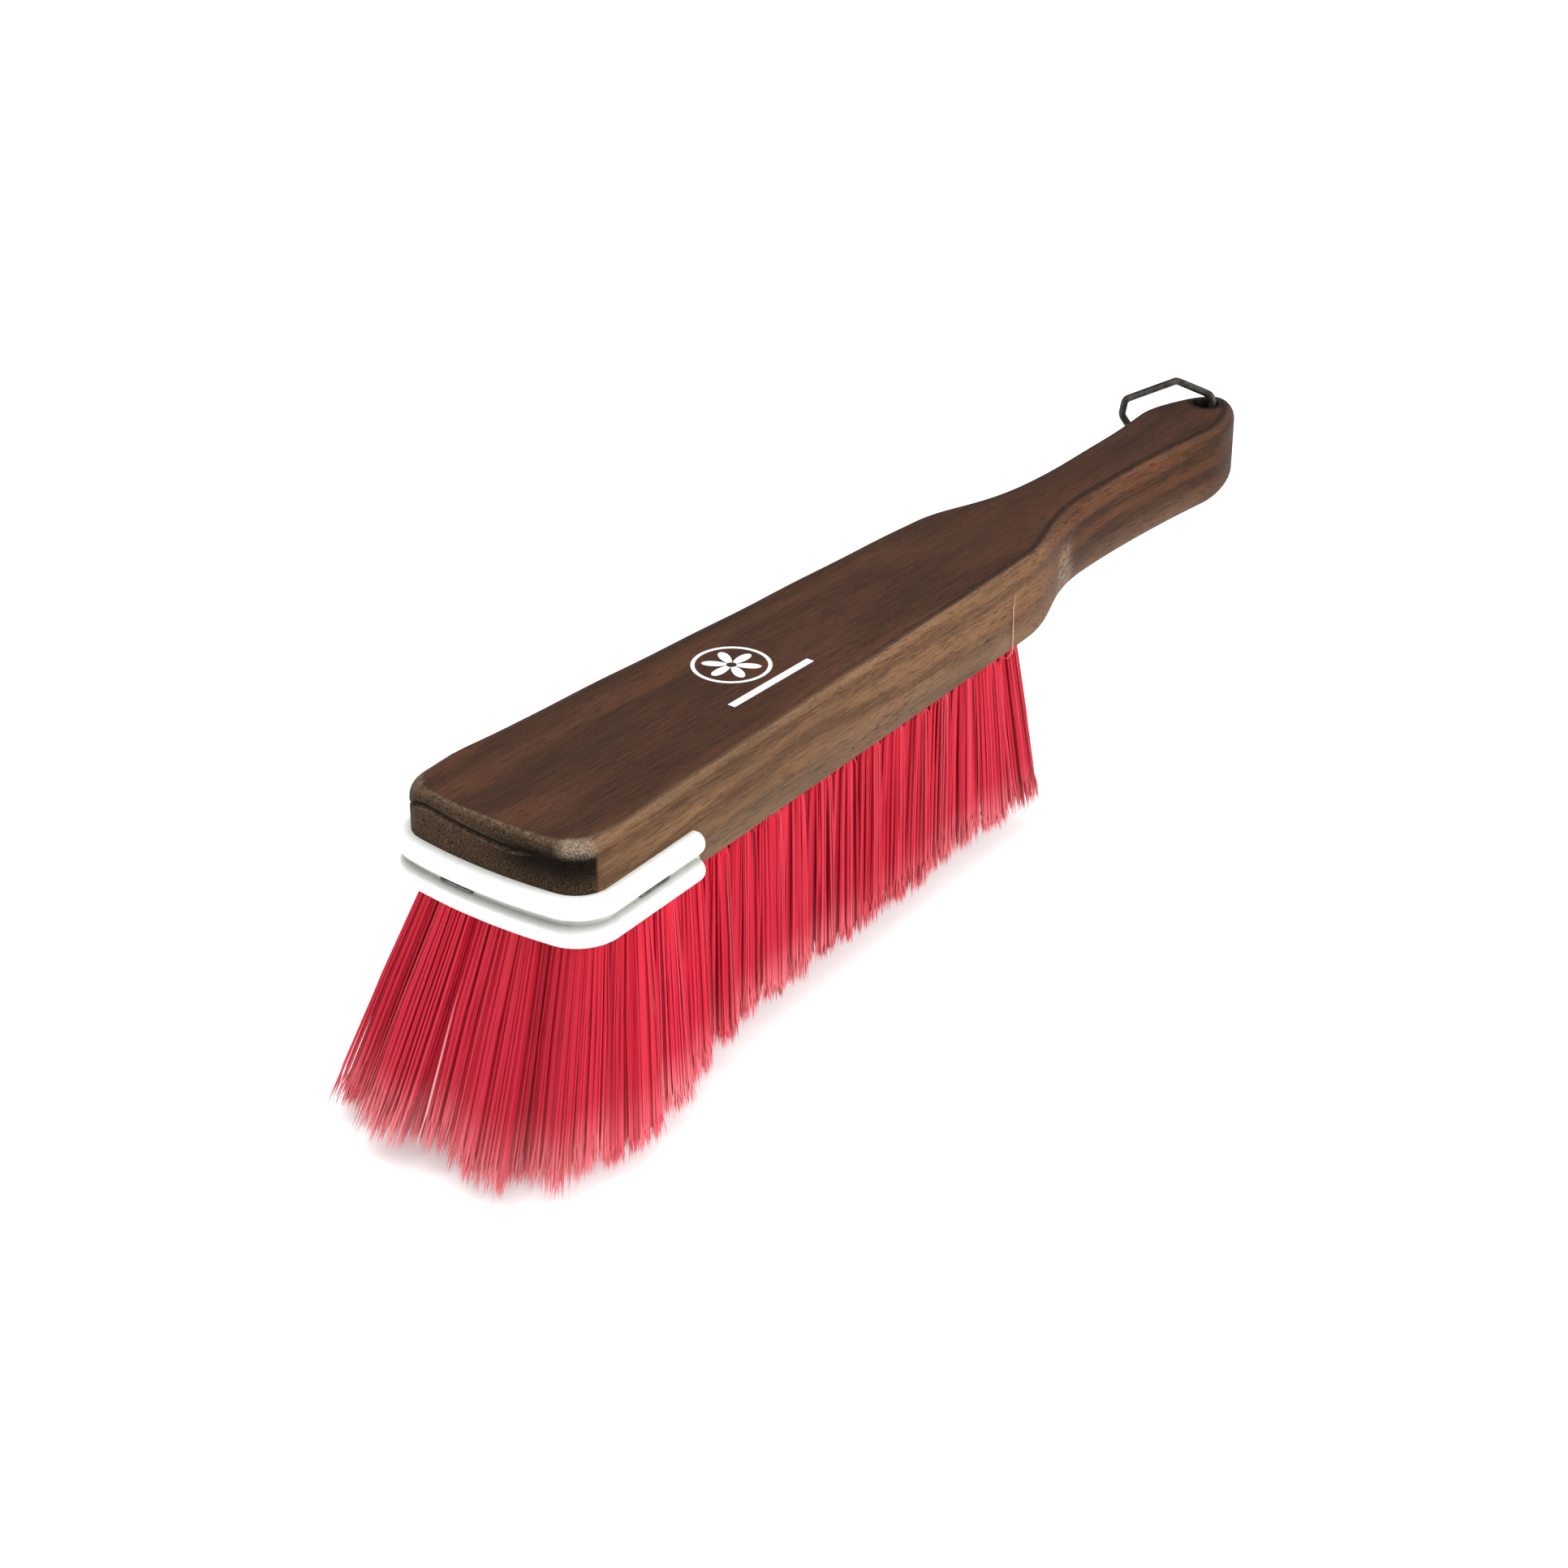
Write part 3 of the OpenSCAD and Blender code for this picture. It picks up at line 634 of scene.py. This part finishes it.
def build_staples():
    """Three bent wire staples, crowns lying in the groove and legs driven into the wood."""
    crown_out = STRIP_GAP + WEB + 0.55
    verts, faces = [], []

    def staple(middle, out, run, crown):
        middle, out, run = (np.asarray(v, float) for v in (middle, out, run))
        a, b = middle - run * crown / 2, middle + run * crown / 2
        line = rounded([a - out * STAPLE_LEG, a + out * crown_out,
                        b + out * crown_out, b - out * STAPLE_LEG], 0.8, 6)
        v, f = tube(line, STAPLE_WIRE_R, 12)
        faces.extend(tuple(i + len(verts) for i in face) for face in f)
        verts.extend(v)

    x = FIRST_TUFT + PITCH + STAPLE_SHIFT
    k = math.atan(SIDE_TAPER)
    turn = math.asin(FRONT_STAPLE_Y / NOSE_R)
    for flip in (1, -1):
        staple((x, flip * side_y(x), GROOVE_Z), (math.sin(k), flip * math.cos(k), 0),
               (math.cos(k), -flip * math.sin(k), 0), PITCH)
    staple((NOSE_R - NOSE_R * math.cos(turn), FRONT_STAPLE_Y, GROOVE_Z),
           (-math.cos(turn), math.sin(turn), 0), (math.sin(turn), math.cos(turn), 0),
           FRONT_STAPLE_CROWN)
    obj = new_piece("bumper_staple_wires", verts, faces, "brush", "bumper_staples")
    outward(obj)
    obj.data.materials.append(metal_material(
        "staple_steel", (0.12, 0.12, 0.12), (0.04, 0.04, 0.04), (0.07, 0.035, 0.02), 0.42))


# ---------------------------------------------------------------- hanging loop
def build_loop():
    """The wire ring, bent from one piece whose ends meet inside the handle's hole."""
    reach, shoulder, nose, half, gap = 27.3, 12.6, 2.6, THICK / 2 + 2.4, 0.4
    rest_turn, rest_tilt = math.radians(95), math.radians(-10)
    flat = [(0, -gap / 2), (0, -half), (shoulder, -half), (reach, -nose), (reach, nose),
            (shoulder, half), (0, half), (0, gap / 2)]
    line = rounded([(u, 0, w) for u, w in flat], 2.5, 9)
    # Straight runs get points of their own, so that their slight waviness shows
    dense = []
    for p, q in zip(line, line[1:]):
        steps = max(1, int(np.linalg.norm(q - p) / 1.5))
        dense.extend(p + (q - p) * t / steps for t in range(steps))
    dense.append(line[-1])
    dense = np.array(dense)
    s = np.linspace(0, 1, len(dense))
    dense[:, 1] += 0.16 * np.sin(s * 17) * np.sin(s * math.pi)
    turn = Matrix.Rotation(rest_turn, 3, "Z") @ Matrix.Rotation(rest_tilt, 3, "Y")
    path = dense @ np.array(turn).T + (LOOP_X, 0, -THICK / 2)
    radius = np.full(len(path), WIRE_R)
    radius[[0, -1]] = WIRE_R * 0.86
    verts, faces = tube(path, radius, 20)
    obj = new_piece("hanging_loop_wire", verts, faces, "hanging_loop", "hanging_loop")
    outward(obj)
    obj.data.set_sharp_from_angle(angle=math.radians(50))
    obj.data.materials.append(metal_material(
        "loop_wire", (0.062, 0.057, 0.050), (0.022, 0.020, 0.018), (0.060, 0.030, 0.016), 0.42))


# ---------------------------------------------------------------- bristles
# Filaments in a tuft, and in each of a row's first tufts, which stand open at the nose
FILAMENTS, NOSE_FILAMENTS, NOSE_TUFTS = 205, 340, 3
SIDES, WISPS = 3, 10
FINEST_R, THICKEST_R = 0.24, 0.31
ROOT_DEPTH, BRISTLE_LEN = 7.0, 56
# Z of the trimmed tips at the nose, and how much higher they end towards the handle
TIP_LEVEL, TIP_RISE = -84.6, 3.4
# How far tips reach from their tuft's axis along and across the brush, and what the nose and
# the back add
REACH_X, REACH_X_NOSE, REACH_X_BACK = 6.6, 4.6, 2.2
REACH_Y, REACH_Y_NOSE = 5.4, 3.6
# The same outwards in the outer rows, and at the nose and back ends of the rows
OUTER_REACH, OUTER_REACH_NOSE = 4.6, {-2: 0.8, 2: 3.4}
FRONT_REACH, LAST_REACH = {0: 15.5, 1: 9.0, 2: 11.0}, 6.3
# Share of its spread that a filament takes just below the wood, and how soon
QUICK_SPREAD, QUICK_LEN = 0.62, 0.03
STRAY_SHARE, PALE_SHARE = 0.004, 0.001
ROW_NAMES = {-2: "outer_left", -1: "inner_left", 0: "centre", 1: "inner_right", 2: "outer_right"}


def tip_level(x):
    """Height that the tips are trimmed to: a little lower at the nose."""
    return TIP_LEVEL + TIP_RISE * ramp(x, 15, 115)


def tuft_reach(row, i, x, tip_disc):
    """How far each tip reaches along and across the brush, about until it meets the next tuft."""
    at_nose, at_back = float(ramp(x, 52, 12)), float(ramp(x, 160, 190))
    wide_x = REACH_X + REACH_X_NOSE * at_nose + REACH_X_BACK * at_back
    outer = wide_y = REACH_Y + REACH_Y_NOSE * at_nose
    if row in OUTER_REACH_NOSE:
        outer = OUTER_REACH + OUTER_REACH_NOSE[row] * at_nose
    front = FRONT_REACH[abs(row)] if i == 0 else wide_x
    back = LAST_REACH if i == PER_ROW - 1 else wide_x
    return np.stack([np.where(tip_disc[:, 0] < 0, front, back),
                     np.where(tip_disc[:, 1] * row > 0, outer, wide_y)], 1)


def build_row(row, material):
    """One row of tufts. Each filament is a tapered tube that splits into two finer ones."""
    rng = np.random.default_rng(4100 + row)
    verts, faces = [], []
    along, tint, pale, outs = [], [], [], []

    def ring(centre, radius, spin, u, v):
        """SIDES points round each centre (n, 3)."""
        a = spin[:, None] + np.arange(SIDES) * 2 * math.pi / SIDES
        r = radius[:, None, None]
        return centre[:, None] + r * (np.cos(a)[..., None] * u + np.sin(a)[..., None] * v)

    def strand(centres, radii, spin, u, v, marks, tone, white, out):
        """Tubes through lists of (n, 3) centres, coming to a point at the last one."""
        count = len(spin)
        start = sum(len(a) for a in verts)
        body = [ring(c, r, spin, u, v) for c, r in zip(centres[:-1], radii)]
        block = np.concatenate([np.stack(body, 1).reshape(count, -1, 3), centres[-1][:, None]], 1)
        per = block.shape[1]
        verts.append(block.reshape(-1, 3))
        levels = len(body)
        local = [tuple(range(SIDES))]
        for j in range(levels - 1):
            for i in range(SIDES):
                k = (i + 1) % SIDES
                a, b = j * SIDES, (j + 1) * SIDES
                local.append((a + i, b + i, b + k, a + k))
        top = (levels - 1) * SIDES
        local.extend((top + i, per - 1, top + (i + 1) % SIDES) for i in range(SIDES))
        for k in range(count):
            base = start + k * per
            faces.extend(tuple(base + i for i in face) for face in local)
        mark = np.concatenate([np.repeat(marks[:-1], SIDES), marks[-1:]])
        along.append(np.tile(mark, count))
        tint.append(np.repeat(tone, per))
        pale.append(np.repeat(white, per))
        outs.append(np.repeat(out, per, 0))

    for i in range(PER_ROW):
        mouth, way, u, v = tuft_place(row, i)
        n = NOSE_FILAMENTS if i < NOSE_TUFTS else FILAMENTS

        def across(flat):
            """Offsets (n, 2) in the plane across the tuft, as vectors."""
            return flat[:, :1] * u + flat[:, 1:] * v

        rho = rng.random(n) ** 0.38
        theta = rng.random(n) * 2 * math.pi
        disc = np.stack([rho * np.cos(theta), rho * np.sin(theta)], 1)
        # Tips gather in wisps
        wisps = rng.normal(0, 0.55, (WISPS, 2))
        nearest = np.argmin(((disc[:, None] - wisps) ** 2).sum(2), 1)
        pull = rng.uniform(0.05, 0.45, WISPS)[nearest][:, None]
        if i < NOSE_TUFTS:
            pull *= 0.45
        # The tuft's outline turns from round in its hole to nearly square at the tips
        square = np.maximum(np.abs(np.cos(theta)), np.abs(np.sin(theta)))[:, None] ** 0.75
        tip_disc = disc / square * (1 - pull) + wisps[nearest] * pull
        spread = tuft_reach(row, i, mouth[0], tip_disc) * rng.uniform(0.96, 1.05, 2)
        jitter = rng.normal(0, 0.35, (n, 2))
        bow = rng.normal(0, 0.28, (n, 2))
        level = tip_level(mouth[0] + way[0] * BRISTLE_LEN) + rng.normal(0, 0.55)
        short = rng.gamma(1.3, 0.75, n) + rng.normal(0, 0.4, WISPS)[nearest]
        stray = rng.random(n) < STRAY_SHARE
        jitter[stray] += rng.normal(0, 1.4, (int(stray.sum()), 2))
        short[stray] -= rng.random(int(stray.sum())) * 2.0
        reach = tip_disc * spread + jitter
        length = (level - mouth[2] - across(reach)[:, 2]) / way[2] - short
        tone = np.clip(rng.normal(0.42, 0.12, n) + rng.normal(0, 0.20), 0, 1)
        white = np.where(rng.random(n) < PALE_SHARE, rng.uniform(0.3, 0.8, n), 0.0)
        white[stray] = rng.uniform(0.0, 0.35, int(stray.sum()))
        spin = rng.random(n) * 2 * math.pi
        thick = rng.uniform(FINEST_R, THICKEST_R, n)

        def centre(share):
            """Filament centres at a share of their length, splaying from the hole to the tip."""
            quick = np.full((n, 2), QUICK_SPREAD)
            quick[:, 1] *= 1 - 0.4 * np.clip(tip_disc[:, 1] * row, 0, 2)
            blend = quick * (1 - math.exp(-share / QUICK_LEN)) + (1 - quick) * share
            arch = bow * math.sin(math.pi * share) * 0.8
            return (mouth + way * (length * share)[:, None]
                    + across(root * (1 - blend) + reach * blend + arch))

        root = disc * (HOLE_R - 0.27)
        inside = mouth - way * ROOT_DEPTH + across(disc * (HOLE_R - 0.3))
        split = rng.uniform(0.78, 0.90)
        steps = np.array([0.0, 0.0, 0.06, 0.45, split, split + 0.05])
        body = [inside] + [centre(share) for share in steps[1:]]
        # Where the whole bristle field faces here: to the sides, and round the nose and back
        field = np.array([mouth[0] - np.clip(mouth[0], 34, 186), mouth[1] * 0.8 + 0.01, 0])
        field /= np.linalg.norm(field)
        out = 0.5 * across(disc) + field
        strand(body, [thick * 0.8] + [thick] * 4, spin, u, v, steps, tone, white, out)
        for part in range(2):
            fan = rng.normal(0, 0.42, (n, 2))
            run = length * (1 - rng.uniform(0.0, 0.035, n) * (part + 0.3))
            end = mouth + way * run[:, None] + across(reach + fan)
            begin = centre(split - 0.01)
            middle = begin * 0.45 + end * 0.55 + 0.12 * across(fan)
            strand([begin, middle, end], [thick * 0.62, thick * 0.5], spin + part * 2.1, u, v,
                   np.array([split, (split + 1) / 2, 1.0]),
                   np.clip(tone + rng.normal(0.06, 0.12, n), 0, 1), white, out)

    if row == -2:
        # One loose filament bent up over the wood's side near the last tufts: along, out and up
        x = LAST_TUFT - 5
        bends = [(0, -5, -27), (0.5, -0.5, -26.6), (1, 0.8, -24.5), (1.6, 0.35, -18),
                 (1.4, 0.4, -12), (2.4, 0.5, -6.5)]
        path = [np.array([[x + dx, -(side_y(x) + off), z]]) for dx, off, z in bends]
        strand(path, [np.array([r]) for r in (0.16, 0.16, 0.16, 0.15, 0.12)], np.zeros(1),
               np.array([1.0, 0, 0]), np.array([0, -0.7, -0.7]), np.linspace(0.3, 1, 6),
               np.ones(1), np.full(1, 0.8), np.array([[0, -1.0, 0]]))

    obj = new_piece("bristles_" + ROW_NAMES[row], np.concatenate(verts), faces, "brush",
                    "tufts_" + ROW_NAMES[row])
    for key, values in (("along", along), ("tint", tint), ("pale", pale)):
        layer = obj.data.attributes.new(key, "FLOAT", "POINT")
        layer.data.foreach_set("value", np.concatenate(values).astype(np.float32))
    # Light falls on a tuft as on one soft bundle, so its filaments lean to its normals
    bundle = np.concatenate(outs)
    own = np.zeros(len(bundle) * 3, np.float32)
    obj.data.vertex_normals.foreach_get("vector", own)
    normals = own.reshape(-1, 3) * 0.22 + bundle * 0.85
    normals /= np.linalg.norm(normals, axis=1)[:, None]
    obj.data.normals_split_custom_set_from_vertices([tuple(v) for v in normals])
    obj.data.materials.append(material)


# ---------------------------------------------------------------- build it all
build_wood()
build_bumper()
build_staples()
build_loop()
red = bristle_material()
for row in range(-2, 3):
    build_row(row, red)

anchor_steel = metal_material("anchor_steel", (0.42, 0.41, 0.39), (0.22, 0.21, 0.20),
                              (0.16, 0.08, 0.04), 0.35)
for name in ROW_NAMES.values():
    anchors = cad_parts["anchors_" + name]
    anchors.data.materials.clear()
    anchors.data.materials.append(anchor_steel)

# ---------------------------------------------------------------- floor, lights, camera
floor_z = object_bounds()[0][2] - 0.0003
floor_mesh = bpy.data.meshes.new("floor")
bm = bmesh.new()
bmesh.ops.create_grid(bm, x_segments=8, y_segments=8, size=6)
bm.to_mesh(floor_mesh)
bm.free()
floor = bpy.data.objects.new("floor", floor_mesh)
floor.location = (0, 0, floor_z)
bpy.context.scene.collection.objects.link(floor)
floor_mesh.materials.append(Nodes("pale_floor").finish(
    (0.93, 0.93, 0.93), 0.8, Emission_Color=(1, 1, 1), Emission_Strength=0.22))


def aim_at(obj, location, target):
    """Puts obj in the scene at location, looking at target."""
    obj.location = location
    obj.rotation_euler = (Vector(target) - Vector(location)).to_track_quat("-Z", "Y").to_euler()
    bpy.context.scene.collection.objects.link(obj)


def lamp(name, location, size, power):
    """A round soft lamp of that many metres and watts, aimed at the brush."""
    light = bpy.data.lights.new(name, "AREA")
    light.shape = "DISK"
    light.size = size
    light.energy = power
    aim_at(bpy.data.objects.new(name, light), location, (0, 0, -0.03))


lamp("key", (0.35, -1.30, 0.45), 0.7, 22)
lamp("top", (0.10, 0.25, 1.50), 1.3, 12)
lamp("nose_fill", (-1.15, 0.60, 0.22), 0.9, 8.5)

world = bpy.data.worlds.new("soft_white")
bpy.context.scene.world = world
world.use_nodes = True
nodes, links = world.node_tree.nodes, world.node_tree.links
nodes.clear()
seen = nodes.new("ShaderNodeBackground")
seen.inputs["Strength"].default_value = 1.0
lighting = nodes.new("ShaderNodeBackground")
for node in (seen, lighting):
    node.inputs["Color"].default_value = (1, 1, 1, 1)
# The far side of the studio is darker, so that the back doesn't mirror a white wall
away = nodes.new("ShaderNodeVectorMath")
away.operation = "DOT_PRODUCT"
away.inputs[1].default_value = (0.79, 0.61, 0.0)
links.new(nodes.new("ShaderNodeTexCoord").outputs["Generated"], away.inputs[0])
fade = nodes.new("ShaderNodeMapRange")
fade.interpolation_type = "SMOOTHSTEP"
for socket, value in zip(fade.inputs[1:5], (0.1, 0.9, 0.75, 0.35)):
    socket.default_value = value
links.new(away.outputs["Value"], fade.inputs[0])
links.new(fade.outputs[0], lighting.inputs["Strength"])
choice = nodes.new("ShaderNodeMixShader")
ray = nodes.new("ShaderNodeLightPath")
links.new(ray.outputs["Is Camera Ray"], choice.inputs[0])
links.new(lighting.outputs[0], choice.inputs[1])
links.new(seen.outputs[0], choice.inputs[2])
links.new(choice.outputs[0], nodes.new("ShaderNodeOutputWorld").inputs[0])
bpy.context.scene.view_settings.view_transform = "Standard"

camera_data = bpy.data.cameras.new("camera")
camera_data.lens = 79.27
camera_data.sensor_width = 36
camera_data.clip_end = 50
camera_data.shift_x = 0.0004
camera_data.shift_y = -0.0008
camera = bpy.data.objects.new("camera", camera_data)
aim_at(camera, (-0.6095, -0.4808, 0.3873), (0.01964, 0.00278, -0.04275))
bpy.context.scene.camera = camera
